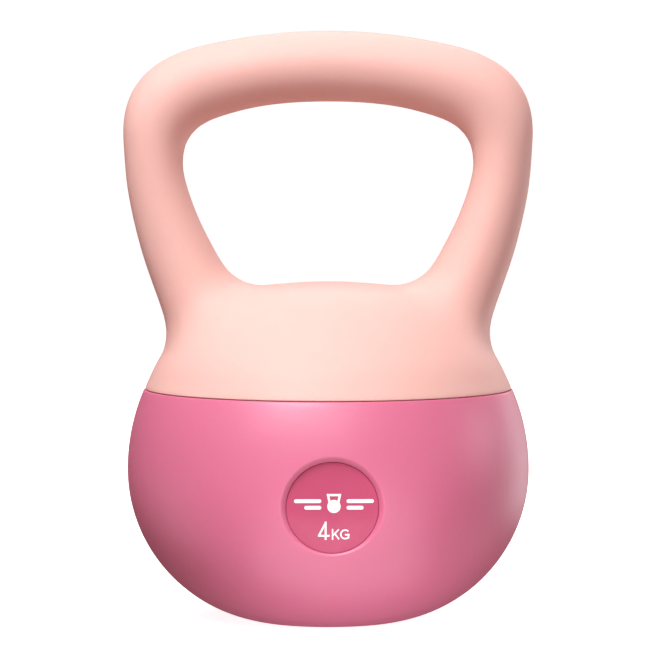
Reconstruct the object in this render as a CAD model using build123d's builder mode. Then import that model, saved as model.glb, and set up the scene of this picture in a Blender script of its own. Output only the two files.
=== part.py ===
"""Soft-shell kettlebell of 4 kg: a moulded grip and shoulder on a filled soft bowl.

The origin is the centre of the base, +Z is up and the badge faces -Y. Millimetres throughout.
"""

import os
from math import cos, hypot, radians, sin, sqrt

from build123d import *

# ---- driving dimensions -------------------------------------------------------------------------

# ball
ball_radius = 81.9
equator_height = 61.5
base_flat_radius = 30.0
seam_height = 94.0
seam_gap = 0.5
seam_depth = 1.6
skin_step = 0.3
shell_wall = 4.5
base_thickness = 5.0
rim_rounding = 0.5

# shoulder, above the seam
crown_height = 137.6
horn_blend = 19.0
root_depths = (25.0, 60.0)
root_heights = (100.0, 150.0)

# bowl lip and the steel that grips it
lip_radius = 62.0
lip_thickness = 4.5
fit_gap = 0.2
plate_radius = 66.0
steel_thickness = 3.0
flange_radius = 69.5
flange_rounding = 0.8

# fasteners, M5
bolt_circle = 46.0
bolt_count = 6
thread_diameter = 5.0
nut_flats = 8.0
nut_height = 4.0
washer_radius = 5.0
washer_thickness = 1.0
head_radius = 4.6
head_height = 3.0
head_rounding = 1.2
screw_stick_out = 2.0
screw_tip = 6.0

# steel core of the grip
tube_diameter = 16.0
tube_wall = 1.5

# filling
fill_height = 84.0

# badge and filling port
badge_height = 53.0
badge_face_y = -76.75
badge_tilt = 5.5
badge_radius = 18.0
badge_thickness = 0.8
badge_rounding = 0.2
tape_thickness = 0.2
tape_margin = 0.5
tape_hole_margin = 1.0
recess_clearance = 0.15
recess_flare = 6.0
boss_radius = 26.0
boss_thickness = 5.5
port_radius = 9.0
plug_flange_radius = 11.8
plug_flange_thickness = 1.5
seal_thickness = 0.8
print_thickness = 0.12

# ---- derived dimensions -------------------------------------------------------------------------

# The belly is an arc that is upright at the equator and ends at the edge of the base.
inset_width = ball_radius - base_flat_radius
belly_radius = (inset_width**2 + equator_height**2) / (2 * inset_width)
belly_centre = ball_radius - belly_radius

lip_underside = seam_height - lip_thickness
plate_top = seam_height + steel_thickness
cover_underside = seam_height - steel_thickness
nut_top = plate_top + nut_height
washer_underside = cover_underside - washer_thickness

# Planes of the badge: the face looks forwards and a little down.
badge_normal = Vector(0, -cos(radians(badge_tilt)), -sin(radians(badge_tilt)))
badge_face = Plane(origin=(0, badge_face_y, badge_height), x_dir=(1, 0, 0), z_dir=badge_normal)
badge_back = badge_face.offset(-badge_thickness)
badge_seat = badge_back.offset(-tape_thickness)
flange_back = badge_seat.offset(-plug_flange_thickness)
port_floor = flange_back.offset(-seal_thickness)
boss_inside = badge_seat.offset(-boss_thickness)


def skin_radius(height, inset=0.0):
    """Radius of the ball at a height, on a surface `inset` under its skin."""
    rise = height - equator_height
    if rise >= 0:
        return sqrt((ball_radius - inset) ** 2 - rise**2)
    return belly_centre + sqrt((belly_radius - inset) ** 2 - rise**2)


def skin_arc(low, high, inset=0.0):
    """Arc of the ball's skin between two heights on one side of the equator."""
    middle = (low + high) / 2
    return ThreePointArc(
        (skin_radius(low, inset), low),
        (skin_radius(middle, inset), middle),
        (skin_radius(high, inset), high),
    )


def ball_outline(low, high, inset=0.0):
    """Closed half outline of the ball between two heights, one each side of the equator."""
    Polyline((0, high), (0, low), (skin_radius(low, inset), low))
    skin_arc(low, equator_height, inset)
    skin_arc(equator_height, high, inset)
    Line((skin_radius(high, inset), high), (0, high))


# ---- steel core of the grip ---------------------------------------------------------------------

# Half of the tube's centre line: welded foot, horn, knuckle and middle of the grip (x, z).
foot_point = (34.4, 90.0)
horn_point = (70.0, 170.0)
knuckle_point = (71.5, 216.5)
grip_middle = (0.0, 226.5)
tube_bends = (60.0, 26.0, 250.0, 26.0, 60.0)


def mirrored(points):
    """The points of a half line and of its mirror image, from left to right."""
    left = [(-x, z) for x, z in points[:-1]]
    return left + list(reversed(points))


tube_line = mirrored([foot_point, horn_point, knuckle_point, grip_middle])


def tube_path():
    """The tube's centre line in the plane of the grip."""
    corners = [(x, 0, z) for x, z in tube_line]
    return FilletPolyline(*corners, radius=list(tube_bends))


def foot_plane():
    """Plane across the start of the tube."""
    start = Vector(tube_line[0][0], 0, tube_line[0][1])
    ahead = Vector(tube_line[1][0], 0, tube_line[1][1])
    return Plane(origin=start, z_dir=ahead - start)


with BuildPart() as core_tube:
    with BuildLine():
        tube_path()
    with BuildSketch(foot_plane()):
        Circle(tube_diameter / 2)
        Circle(tube_diameter / 2 - tube_wall, mode=Mode.SUBTRACT)
    sweep()
    split(bisect_by=Plane.XY.offset(plate_top), keep=Keep.TOP)
core_tube.part.label = "core_tube"

# The space that the tube takes in the moulding, its sealed hollow included.
with BuildPart() as tube_space:
    with BuildLine():
        tube_path()
    with BuildSketch(foot_plane()):
        Circle(tube_diameter / 2)
    sweep()
    split(bisect_by=Plane.XY.offset(plate_top), keep=Keep.TOP)

# ---- anchor plate, nuts, cover and fasteners ----------------------------------------------------

anchor_hole_circle = 24.0
anchor_hole_radius = 7.0
anchor_centre_radius = 9.0

with BuildPart() as anchor_plate:
    with BuildSketch(Plane.XY.offset(seam_height)):
        Circle(plate_radius)
        Circle(anchor_centre_radius, mode=Mode.SUBTRACT)
        with PolarLocations(anchor_hole_circle, 4, start_angle=45):
            Circle(anchor_hole_radius, mode=Mode.SUBTRACT)
        with PolarLocations(bolt_circle, bolt_count, start_angle=30):
            Circle(thread_diameter / 2 + fit_gap, mode=Mode.SUBTRACT)
    extrude(amount=steel_thickness)
anchor_plate.part.label = "anchor_plate"

with BuildPart() as weld_nuts:
    with BuildSketch(Plane.XY.offset(plate_top)):
        with PolarLocations(bolt_circle, bolt_count, start_angle=30):
            RegularPolygon(nut_flats / 2, 6, major_radius=False)
            Circle(thread_diameter / 2, mode=Mode.SUBTRACT)
    extrude(amount=nut_height)
weld_nuts.part.label = "weld_nuts"

# A dished disc: its raised middle lies on the plate and its flange passes under the bowl's lip.
with BuildPart() as clamp_cover:
    with BuildSketch(Plane.YZ):
        with BuildLine():
            Polyline(
                (0, seam_height),
                (lip_radius - fit_gap, seam_height),
                (lip_radius - fit_gap, lip_underside),
                (flange_radius, lip_underside),
                (flange_radius, lip_underside - steel_thickness),
                (lip_radius - fit_gap - steel_thickness, lip_underside - steel_thickness),
                (lip_radius - fit_gap - steel_thickness, cover_underside),
                (0, cover_underside),
                close=True,
            )
        make_face()
    revolve(axis=Axis.Z)
    with BuildSketch(Plane.XY.offset(seam_height)):
        with PolarLocations(bolt_circle, bolt_count, start_angle=30):
            Circle(thread_diameter / 2 + fit_gap)
    extrude(amount=-steel_thickness, mode=Mode.SUBTRACT)
    fillet(clamp_cover.edges().filter_by(GeomType.CIRCLE).group_by(SortBy.RADIUS)[-1], flange_rounding)
clamp_cover.part.label = "clamp_cover"

with BuildPart() as screw_washers:
    with BuildSketch(Plane.XY.offset(washer_underside)):
        with PolarLocations(bolt_circle, bolt_count, start_angle=30):
            Circle(washer_radius)
            Circle(thread_diameter / 2 + fit_gap, mode=Mode.SUBTRACT)
    extrude(amount=washer_thickness)
screw_washers.part.label = "screw_washers"

socket_radius = 1.7
socket_depth = 1.8

with BuildPart() as cover_screws:
    with BuildSketch(Plane.XY.offset(washer_underside)):
        with PolarLocations(bolt_circle, bolt_count, start_angle=30):
            Circle(head_radius)
    extrude(amount=-head_height)
    fillet(cover_screws.faces().sort_by(Axis.Z)[:bolt_count].edges(), head_rounding)
    with BuildSketch(Plane.XY.offset(washer_underside - head_height)):
        with PolarLocations(bolt_circle, bolt_count, start_angle=30):
            RegularPolygon(socket_radius, 6)
    extrude(amount=socket_depth, mode=Mode.SUBTRACT)
    with BuildSketch(Plane.XY.offset(washer_underside)):
        with PolarLocations(bolt_circle, bolt_count, start_angle=30):
            Circle(thread_diameter / 2)
    extrude(amount=nut_top + screw_stick_out - washer_underside)
cover_screws.part.label = "cover_screws"

# ---- grip and shoulder moulding -----------------------------------------------------------------

shoulder_start = seam_height + seam_gap

# Outline of the shoulder (radius, height), from above the rim to the nearly flat top.
shoulder_points = [
    (71.9, 101.5),
    (68.1, 108.0),
    (57.3, 120.0),
    (43.8, 130.0),
    (36.0, 133.9),
    (27.0, 136.0),
    (14.0, 137.2),
]

# Sections of one half of the handle: outer point, inner point (x, z) and half depth along Y.
handle_sections = [
    ((0.0, 240.0), (0.0, 211.0), 16.0),
    ((27.0, 238.3), (24.0, 209.6), 16.0),
    ((50.0, 234.2), (41.0, 205.8), 16.0),
    ((68.0, 227.6), (51.4, 201.4), 16.0),
    ((78.4, 217.8), (56.6, 196.0), 16.0),
    ((82.7, 207.0), (58.7, 190.8), 15.8),
    ((83.2, 193.0), (59.1, 185.6), 15.6),
    ((82.1, 178.5), (58.2, 179.6), 15.5),
    ((79.2, 162.5), (55.2, 170.0), 15.8),
    ((74.8, 146.0), (50.0, 158.0), 16.5),
    ((69.4, 130.5), (43.8, 146.4), 18.0),
    ((63.8, 112.5), (35.0, 130.0), 20.0),
    ((58.6, 97.0), (27.0, 114.5), 21.5),
]


def section_plane(outer, inner, side):
    """Plane across the handle between an outer and an inner point; side is 1 or -1 along X."""
    across = Vector(side * (outer[0] - inner[0]), 0, outer[1] - inner[1])
    middle = Vector(side * (outer[0] + inner[0]) / 2, 0, (outer[1] + inner[1]) / 2)
    return Plane(origin=middle, x_dir=(0, 1, 0), z_dir=(across.Z, 0, -across.X))


def half_width(outer, inner):
    """Half of the handle's width in the plane of the grip."""
    return hypot(outer[0] - inner[0], outer[1] - inner[1]) / 2


# The whole handle from its left root to its right one: side, outer point, inner point, half depth.
handle_course = [(-1, *section) for section in reversed(handle_sections[1:])]
handle_course += [(1, *section) for section in handle_sections]
handle_middles = [
    (side * (outer[0] + inner[0]) / 2, 0, (outer[1] + inner[1]) / 2)
    for side, outer, inner, half_depth in handle_course
]


with BuildPart() as handle_moulding:
    with BuildSketch(Plane.YZ):
        with BuildLine():
            rim = skin_radius(shoulder_start, skin_step)
            rise = Vector(equator_height - shoulder_start, rim)
            Polyline((0, seam_height), (rim - seam_depth, seam_height), (rim - seam_depth, shoulder_start))
            Line((rim - seam_depth, shoulder_start), (rim, shoulder_start))
            Spline(
                [(rim, shoulder_start), *shoulder_points, (0, crown_height)],
                tangents=[rise, (-1, 0)],
            )
            Line((0, crown_height), (0, seam_height))
        make_face()
    revolve(axis=Axis.Z)
    with BuildLine():
        Spline(handle_middles)
    for side, outer, inner, half_depth in handle_course:
        with BuildSketch(section_plane(outer, inner, side)):
            Ellipse(half_depth, half_width(outer, inner))
    sweep(multisection=True)
    horn_roots = [
        edge
        for edge in handle_moulding.edges()
        if root_depths[0] < edge.bounding_box().size.Y < root_depths[1]
        and root_heights[0] < edge.center().Z < root_heights[1]
    ]
    fillet(horn_roots, horn_blend)
    add(tube_space.part, mode=Mode.SUBTRACT)
    add(anchor_plate.part, mode=Mode.SUBTRACT)
    with BuildSketch(Plane.XY.offset(seam_height)):
        with PolarLocations(bolt_circle, bolt_count, start_angle=30):
            Circle(thread_diameter / 2 + fit_gap)
    extrude(amount=nut_top + screw_tip - seam_height, mode=Mode.SUBTRACT)
    with BuildSketch(Plane.XY.offset(plate_top)):
        with PolarLocations(bolt_circle, bolt_count, start_angle=30):
            RegularPolygon(nut_flats / 2, 6, major_radius=False)
    extrude(amount=nut_height, mode=Mode.SUBTRACT)
handle_moulding.part.label = "handle_moulding"

# ---- bowl ---------------------------------------------------------------------------------------

tread_radii = (14.0, 19.0, 24.0)
tread_width = 1.2
tread_depth = 0.6

# The thick round boss behind the badge, kept just under the ball's skin.
with BuildPart() as badge_boss:
    with BuildSketch(Plane.YZ):
        with BuildLine():
            ball_outline(base_thickness, lip_underside, shell_wall / 3)
        make_face()
    revolve(axis=Axis.Z)
    with BuildSketch(boss_inside):
        Circle(boss_radius)
    extrude(amount=2 * boss_thickness, mode=Mode.INTERSECT)

with BuildPart() as bowl_shell:
    with BuildSketch(Plane.YZ) as bowl_wall:
        with BuildLine():
            Polyline((0, base_thickness), (0, 0), (base_flat_radius, 0))
            skin_arc(0, equator_height)
            skin_arc(equator_height, seam_height)
            Polyline(
                (skin_radius(seam_height), seam_height),
                (lip_radius, seam_height),
                (lip_radius, lip_underside),
                (skin_radius(lip_underside, shell_wall), lip_underside),
            )
            skin_arc(equator_height, lip_underside, shell_wall)
            skin_arc(base_thickness, equator_height, shell_wall)
            Line((skin_radius(base_thickness, shell_wall), base_thickness), (0, base_thickness))
        make_face()
        rim_corner = bowl_wall.vertices().sort_by_distance((skin_radius(seam_height), seam_height, 0))[0]
        fillet(rim_corner, rim_rounding)
    revolve(axis=Axis.Z)
    add(badge_boss.part)
    with BuildSketch(badge_seat):
        Circle(badge_radius + recess_clearance)
    extrude(amount=badge_thickness + tape_thickness, mode=Mode.SUBTRACT)
    with BuildSketch(badge_face):
        Circle(badge_radius + recess_clearance)
    extrude(amount=recess_flare, taper=-45, mode=Mode.SUBTRACT)
    with BuildSketch(badge_seat):
        Circle(plug_flange_radius + fit_gap)
    extrude(amount=-(plug_flange_thickness + seal_thickness), mode=Mode.SUBTRACT)
    with BuildSketch(port_floor):
        Circle(port_radius)
    extrude(amount=-boss_thickness, mode=Mode.SUBTRACT)
    with BuildSketch(Plane.XY):
        for radius in tread_radii:
            Circle(radius + tread_width)
            Circle(radius, mode=Mode.SUBTRACT)
    extrude(amount=tread_depth, mode=Mode.SUBTRACT)
bowl_shell.part.label = "bowl_shell"

# ---- filling, plug and seal ---------------------------------------------------------------------

stem_length = 10.0
stem_tip = 1.0
stem_radius = port_radius - fit_gap
barb_height = 0.8
barb_taper = 20.0
barb_radius = port_radius + barb_height
stem_bore_radius = 5.5
stem_bore_depth = 7.0

with BuildPart() as sand_fill:
    with BuildSketch(Plane.YZ):
        with BuildLine():
            ball_outline(base_thickness + fit_gap, fill_height, shell_wall + fit_gap)
        make_face()
    revolve(axis=Axis.Z)
    with BuildSketch(boss_inside.offset(-fit_gap)):
        Circle(boss_radius + fit_gap)
    extrude(amount=2 * boss_thickness, mode=Mode.SUBTRACT)
    with BuildSketch(boss_inside):
        Circle(barb_radius + fit_gap)
    extrude(amount=-(stem_length - boss_thickness + plug_flange_thickness + fit_gap), mode=Mode.SUBTRACT)
sand_fill.part.label = "sand_fill"

with BuildPart() as filler_plug:
    with BuildSketch(badge_seat):
        Circle(plug_flange_radius)
    extrude(amount=-plug_flange_thickness)
    with BuildSketch(flange_back):
        Circle(stem_radius)
    extrude(amount=-(stem_length - stem_tip))
    with BuildSketch(boss_inside.offset(-fit_gap)):
        Circle(barb_radius)
    extrude(amount=-(stem_length - boss_thickness + plug_flange_thickness - fit_gap), taper=barb_taper)
    with BuildSketch(flange_back.offset(-stem_length)):
        Circle(stem_bore_radius)
    extrude(amount=stem_bore_depth, mode=Mode.SUBTRACT)
filler_plug.part.label = "filler_plug"

with BuildPart() as plug_seal:
    with BuildSketch(port_floor):
        Circle(plug_flange_radius)
        Circle(stem_radius + fit_gap, mode=Mode.SUBTRACT)
    extrude(amount=seal_thickness)
plug_seal.part.label = "plug_seal"

# ---- badge --------------------------------------------------------------------------------------

with BuildPart() as badge_tape:
    with BuildSketch(badge_seat):
        Circle(badge_radius - tape_margin)
        Circle(plug_flange_radius + tape_hole_margin, mode=Mode.SUBTRACT)
    extrude(amount=tape_thickness)
badge_tape.part.label = "badge_tape"

with BuildPart() as badge_disc:
    with BuildSketch(badge_back):
        Circle(badge_radius)
    extrude(amount=badge_thickness)
    fillet(badge_disc.faces().sort_by(Axis((0, 0, 0), badge_normal))[-1].edges(), badge_rounding)
badge_disc.part.label = "badge_disc"

# A small kettlebell pictogram with a long bar over a short one on each side (x, y on the badge).
emblem_centre = (0.6, 0.6)
emblem_body_radius = 2.6
emblem_handle_line = [(-1.1, 2.2), (-1.7, 5.1), (2.9, 5.1), (2.3, 2.2)]
emblem_stroke = 0.9
bar_height = 1.5
long_bar_length = 10.6
long_bar_place = (10.2, 2.1)
short_bar_length = 6.6
short_bar_place = (8.2, -0.5)


def bar_centre(place, side):
    """Centre of a bar beside the pictogram; side is 1 or -1."""
    return (emblem_centre[0] + side * place[0], emblem_centre[1] + place[1])


with BuildPart() as badge_emblem:
    with BuildSketch(badge_face):
        with Locations(emblem_centre):
            Circle(emblem_body_radius)
        with BuildLine():
            Polyline(*emblem_handle_line)
        trace(line_width=emblem_stroke)
        for side in (-1, 1):
            with Locations(bar_centre(long_bar_place, side)):
                SlotOverall(long_bar_length, bar_height)
            with Locations(bar_centre(short_bar_place, side)):
                SlotOverall(short_bar_length, bar_height)
    extrude(amount=print_thickness)
badge_emblem.part.label = "badge_emblem"

# The mark "4KG" drawn as strokes (x, y on the badge): a tall 4, then K and G two thirds as high.
number_stroke = 0.75
number_lines = [
    ((-1.05, -11.0), (-5.6, -11.0)),
    ((-5.25, -11.0), (-2.5, -5.7)),
    ((-2.6, -5.4), (-2.6, -12.6)),
]
letter_stroke = 0.58
letter_lines = [
    ((0.1, -8.3), (0.1, -12.6)),
    ((2.5, -8.5), (0.2, -10.9)),
    ((1.0, -10.2), (2.6, -12.4)),
    ((6.3, -12.1), (6.3, -10.2)),
    ((6.7, -10.6), (4.9, -10.6)),
]
letter_arc_centre = (5.0, -10.45)
letter_arc_radius = 1.7
letter_arc_start = 45.0
letter_arc_turn = 270.0

with BuildPart() as weight_mark:
    with BuildSketch(badge_face):
        for start, end in number_lines:
            with BuildLine():
                Line(start, end)
            trace(line_width=number_stroke)
        for start, end in letter_lines:
            with BuildLine():
                Line(start, end)
            trace(line_width=letter_stroke)
        with BuildLine():
            CenterArc(letter_arc_centre, letter_arc_radius, letter_arc_start, letter_arc_turn)
        trace(line_width=letter_stroke)
    extrude(amount=print_thickness)
weight_mark.part.label = "weight_mark"

# ---- export -------------------------------------------------------------------------------------

os.makedirs("parts", exist_ok=True)
export_step(handle_moulding.part, "parts/handle_moulding.step")
export_step(core_tube.part, "parts/core_tube.step")
export_step(anchor_plate.part, "parts/anchor_plate.step")
export_step(weld_nuts.part, "parts/weld_nuts.step")
export_step(clamp_cover.part, "parts/clamp_cover.step")
export_step(screw_washers.part, "parts/screw_washers.step")
export_step(cover_screws.part, "parts/cover_screws.step")
export_step(bowl_shell.part, "parts/bowl_shell.step")
export_step(sand_fill.part, "parts/sand_fill.step")
export_step(filler_plug.part, "parts/filler_plug.step")
export_step(plug_seal.part, "parts/plug_seal.step")
export_step(badge_tape.part, "parts/badge_tape.step")
export_step(badge_disc.part, "parts/badge_disc.step")
export_step(badge_emblem.part, "parts/badge_emblem.step")
export_step(weight_mark.part, "parts/weight_mark.step")
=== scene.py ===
"""Soft-shell kettlebell of 4 kg, laid out as an add-on: a peach grip and shoulder on a rose bowl.

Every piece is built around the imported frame, in metres, in the frame's own axes: Z is up and the
badge faces -Y.
"""

import math

import bmesh
import bpy
from bpy.props import FloatProperty, FloatVectorProperty, IntProperty, PointerProperty
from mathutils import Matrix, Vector


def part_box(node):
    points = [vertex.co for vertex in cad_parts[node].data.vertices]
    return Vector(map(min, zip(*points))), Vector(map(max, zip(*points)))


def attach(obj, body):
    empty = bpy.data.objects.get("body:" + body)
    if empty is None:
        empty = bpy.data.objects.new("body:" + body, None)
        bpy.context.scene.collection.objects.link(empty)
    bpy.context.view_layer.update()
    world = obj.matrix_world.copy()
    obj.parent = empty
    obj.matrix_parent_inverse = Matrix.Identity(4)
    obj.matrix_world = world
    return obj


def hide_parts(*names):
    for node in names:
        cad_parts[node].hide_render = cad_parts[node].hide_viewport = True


bl_info = {
    "name": "Soft Kettlebell",
    "version": (1, 0, 0),
    "blender": (4, 5, 0),
    "location": "View3D > Sidebar > Kettlebell",
    "description": "Builds a soft two-tone kettlebell around its packed frame",
    "category": "Add Mesh",
}

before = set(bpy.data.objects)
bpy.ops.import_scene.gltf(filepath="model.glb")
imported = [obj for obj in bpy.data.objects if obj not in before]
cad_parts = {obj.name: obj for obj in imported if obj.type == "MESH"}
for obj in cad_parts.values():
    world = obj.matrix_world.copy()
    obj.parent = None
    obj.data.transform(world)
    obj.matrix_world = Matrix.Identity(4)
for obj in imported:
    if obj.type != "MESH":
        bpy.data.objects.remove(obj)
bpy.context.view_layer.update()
bowl_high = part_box("bowl_shell")[1]

MM = 0.001

# ---- settings -----------------------------------------------------------------------------------


def length(name, description, default, low=0.0, high=2.0):
    """A length setting in metres."""
    return FloatProperty(
        name=name,
        description=description,
        default=default,
        min=low,
        max=high,
        precision=5,
        subtype="DISTANCE",
        unit="LENGTH",
    )


def colour(name, description, default):
    """A colour setting, linear red, green and blue."""
    return FloatVectorProperty(
        name=name, description=description, default=default, size=3, min=0, max=1, subtype="COLOR"
    )


class KettlebellSizes(bpy.types.PropertyGroup):
    """Sizes of the ball, its seam and its badge."""

    ball_radius: length("Ball radius", "Radius of the bowl at its widest", bowl_high.x)
    equator_height: length("Equator", "Height of the ball's widest circle", 61.5 * MM)
    base_radius: length("Base radius", "Radius of the flat base", 30 * MM)
    seam_height: length("Seam height", "Top edge of the bowl", bowl_high.z)
    seam_gap: length("Seam gap", "Open height of the seam groove", 0.3 * MM)
    seam_depth: length("Seam depth", "How far the seam groove goes in", 0.7 * MM)
    skin_step: length("Skin step", "How far the bowl stands out past the shoulder", 0.3 * MM)
    wall: length("Bowl wall", "Wall thickness of the bowl", 4.5 * MM)
    floor: length("Bowl floor", "Thickness of the bowl's floor", 5 * MM)
    lip_radius: length("Lip radius", "Inner radius of the bowl's lip", 62 * MM)
    lip_thickness: length("Lip thickness", "Height of the bowl's lip", 4.5 * MM)
    plate_radius: length("Plate radius", "Radius of the recess for the anchor plate", 66 * MM)
    plate_depth: length("Plate depth", "Depth of the recess for the anchor plate", 3 * MM)
    badge_height: length("Badge height", "Height of the badge's centre", 53 * MM)
    badge_depth: length("Badge depth", "Distance of the badge's face from the axis", 76.75 * MM)
    badge_radius: length("Badge radius", "Radius of the badge disc", 18 * MM)
    badge_thickness: length("Badge thickness", "Thickness of the badge disc", 0.8 * MM)
    pocket_depth: length("Pocket depth", "Depth of the pocket under the badge's face", 1.0 * MM)
    badge_gap: length("Badge gap", "Gap round the badge disc", 0.15 * MM)
    badge_tilt: FloatProperty(
        name="Badge tilt",
        description="How far the badge looks down",
        default=math.radians(5.5),
        subtype="ANGLE",
    )
    bowl_steps: IntProperty(
        name="Bowl steps", description="Faces round the bowl", default=256, min=64
    )
    shoulder_steps: IntProperty(
        name="Shoulder steps", description="Faces round the shoulder's cage", default=64, min=32
    )


class KettlebellColours(bpy.types.PropertyGroup):
    """Colours of the finishes."""

    peach: colour("Peach", "Grip and shoulder", (0.80, 0.51, 0.46))
    peach_shade: colour("Peach shade", "Clouding in the grip and shoulder", (0.785, 0.49, 0.44))
    rose: colour("Rose", "Bowl", (0.67, 0.178, 0.305))
    rose_shade: colour("Rose shade", "Clouding in the bowl", (0.645, 0.163, 0.288))
    # Badge and Lower badge differ by a painted reflection: the deeper upper colour stands for a
    # dark surround mirrored in the disc. Badge also gives the painted shade in the bowl's recess.
    badge: colour("Badge", "Upper half of the badge disc", (0.49, 0.055, 0.145))
    badge_low: colour("Lower badge", "Lower half of the badge disc", (0.50, 0.085, 0.175))
    printing: colour("Print", "Raised print on the badge", (0.95, 0.94, 0.94))
    steel: colour("Steel", "Bare steel", (0.62, 0.63, 0.65))
    primer: colour("Primer", "Primed steel", (0.10, 0.11, 0.12))
    sand: colour("Sand", "Iron sand", (0.10, 0.08, 0.07))
    rubber: colour("Rubber", "Plug and seal", (0.03, 0.03, 0.03))
    tape: colour("Tape", "Adhesive ring", (0.75, 0.74, 0.70))
    floor: colour("Floor", "Studio floor", (0.90, 0.90, 0.90))


class StudioSettings(bpy.types.PropertyGroup):
    """Camera and lights."""

    distance: length("Distance", "Camera distance from the axis", 1.5, high=5)
    eye_height: length("Eye height", "Camera height", 0.200)
    aim_height: length("Aim height", "Height that the camera looks at", 0.1186)
    aim_side: length("Aim side", "Sideways place that the camera looks at", 0.0001, low=-0.1)
    azimuth: FloatProperty(
        name="Azimuth",
        description="Camera direction round the kettlebell",
        default=math.radians(-1.2),
        subtype="ANGLE",
    )
    lens: FloatProperty(name="Lens", description="Focal length in millimetres", default=201.75)
    light_power: FloatProperty(
        name="Key light", description="Power of the key soft box", default=31.0, unit="POWER"
    )
    surround: colour("Surround colour", "Warm light from all round", (1.0, 0.50, 0.49))
    world_light: FloatProperty(
        name="Surround", description="Strength of the warm surround", default=0.26
    )


# ---- shape helpers ------------------------------------------------------------------------------


def deselect_all():
    """Leaves object mode with nothing selected."""
    if bpy.context.object and bpy.context.object.mode != "OBJECT":
        bpy.ops.object.mode_set(mode="OBJECT")
    bpy.ops.object.select_all(action="DESELECT")


def activate(piece):
    """Makes one object the only selected one."""
    deselect_all()
    piece.select_set(True)
    bpy.context.view_layer.objects.active = piece


def lathe(name, points, steps):
    """Draws an outline of (radius, height) points from one vertex and spins it about the Z axis."""
    deselect_all()
    bpy.ops.mesh.primitive_plane_add(size=MM, location=(0, 0, 0))
    piece = bpy.context.object
    piece.name = name
    bpy.ops.object.mode_set(mode="EDIT")
    bpy.ops.mesh.select_mode(type="VERT")
    bpy.ops.mesh.select_all(action="SELECT")
    bpy.ops.mesh.merge(type="CENTER")
    bpy.ops.transform.translate(value=(points[0][0], 0, points[0][1]))
    for (r_old, z_old), (r_new, z_new) in zip(points, points[1:]):
        step = (r_new - r_old, 0, z_new - z_old)
        bpy.ops.mesh.extrude_vertices_move(TRANSFORM_OT_translate={"value": step})
    bpy.ops.mesh.select_all(action="SELECT")
    bpy.ops.mesh.spin(steps=steps, angle=2 * math.pi, center=(0, 0, 0), axis=(0, 0, 1))
    bpy.ops.mesh.select_all(action="SELECT")
    bpy.ops.mesh.remove_doubles(threshold=0.01 * MM)
    bpy.ops.mesh.normals_make_consistent(inside=False)
    bpy.ops.mesh.select_all(action="DESELECT")
    return piece


def select_faces(piece, wanted):
    """Selects, in edit mode, the faces whose centre passes the test; returns how many."""
    bpy.ops.mesh.select_mode(type="FACE")
    bpy.ops.mesh.select_all(action="DESELECT")
    cage = bmesh.from_edit_mesh(piece.data)
    count = 0
    for face in cage.faces:
        if wanted(face.calc_center_median()):
            face.select_set(True)
            count += 1
    cage.select_flush_mode()
    bmesh.update_edit_mesh(piece.data)
    return count


def select_open_edges(piece, wanted):
    """Selects, in edit mode, the open edges whose middle passes the test; returns how many."""
    bpy.ops.mesh.select_mode(type="EDGE")
    bpy.ops.mesh.select_all(action="DESELECT")
    cage = bmesh.from_edit_mesh(piece.data)
    count = 0
    for edge in cage.edges:
        middle = (edge.verts[0].co + edge.verts[1].co) / 2
        if len(edge.link_faces) == 1 and wanted(middle):
            edge.select_set(True)
            count += 1
    bmesh.update_edit_mesh(piece.data)
    return count


def finish_piece(piece, name, angle):
    """Names a piece, smooths it by angle and lets it ride with the kettlebell."""
    activate(piece)
    bpy.ops.object.shade_smooth_by_angle(angle=math.radians(angle))
    piece.name = name
    piece.data.name = name
    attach(piece, "root")


# ---- bowl ---------------------------------------------------------------------------------------

# Anti-slip rings under the base: inner radii, and each groove's width, depth and softened edge.
TREAD_RADII = (14 * MM, 19 * MM, 24 * MM)
TREAD_WIDTH, TREAD_DEPTH, TREAD_EASE = 1.2 * MM, 0.6 * MM, 0.15 * MM

# Softened corners of the bowl at its base and its rim.
BASE_EASE = 0.8 * MM
RIM_ROUNDING = 0.4 * MM

# Where rows of faces lie: on the lip's top, on the floor inside, and up the outer and inner skin.
LIP_ROW = 6 * MM
FLOOR_ROW = 20 * MM
SKIN_STEPS, WALL_STEPS = 48, 44

# A place on the skin is found by halving a span this often, within this reach of the badge.
HALVINGS = 40
SKIN_REACH = 20 * MM

# The square patch behind the badge that is opened: half its angle, and its reach down and up.
PATCH_ANGLE = math.radians(21.1)
PATCH_BELOW, PATCH_ABOVE = 27 * MM, 26.5 * MM

# The square opening turns round in steps, each a share of the way, and stops short of the recess.
ROUNDING_STEPS = 5
ROUNDING_SHARE = 0.45
RECESS_MARGIN = 1.6 * MM

# The recess: softness of its edge, the widest that its flare can be, and its corners' easing.
RECESS_SOFTNESS = 0.35 * MM
RECESS_REACH = 6 * MM
CORNER_EASE = 0.05 * MM

# Filling port behind the badge's pocket: seat of the plug's flange, bore and boss.
SEAT_RADIUS, SEAT_DEPTH = 12.0 * MM, 3.3 * MM
BORE_RADIUS = 9.0 * MM
BOSS_RADIUS, BOSS_DEPTH, BOSS_EASE = 26 * MM, 6.5 * MM, 0.4 * MM


def belly(sizes):
    """Centre radius and radius of the belly arc, upright at the equator and ending at the base."""
    inset = sizes.ball_radius - sizes.base_radius
    radius = (inset**2 + sizes.equator_height**2) / (2 * inset)
    return sizes.ball_radius - radius, radius


def skin_radius(sizes, height, inset=0.0):
    """Radius of the ball at a height, on a surface `inset` under its skin."""
    rise = height - sizes.equator_height
    centre, radius = belly(sizes)
    if rise >= 0:
        return math.sqrt((sizes.ball_radius - inset) ** 2 - rise**2)
    return centre + math.sqrt(max((radius - inset) ** 2 - rise**2, 0))


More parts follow.
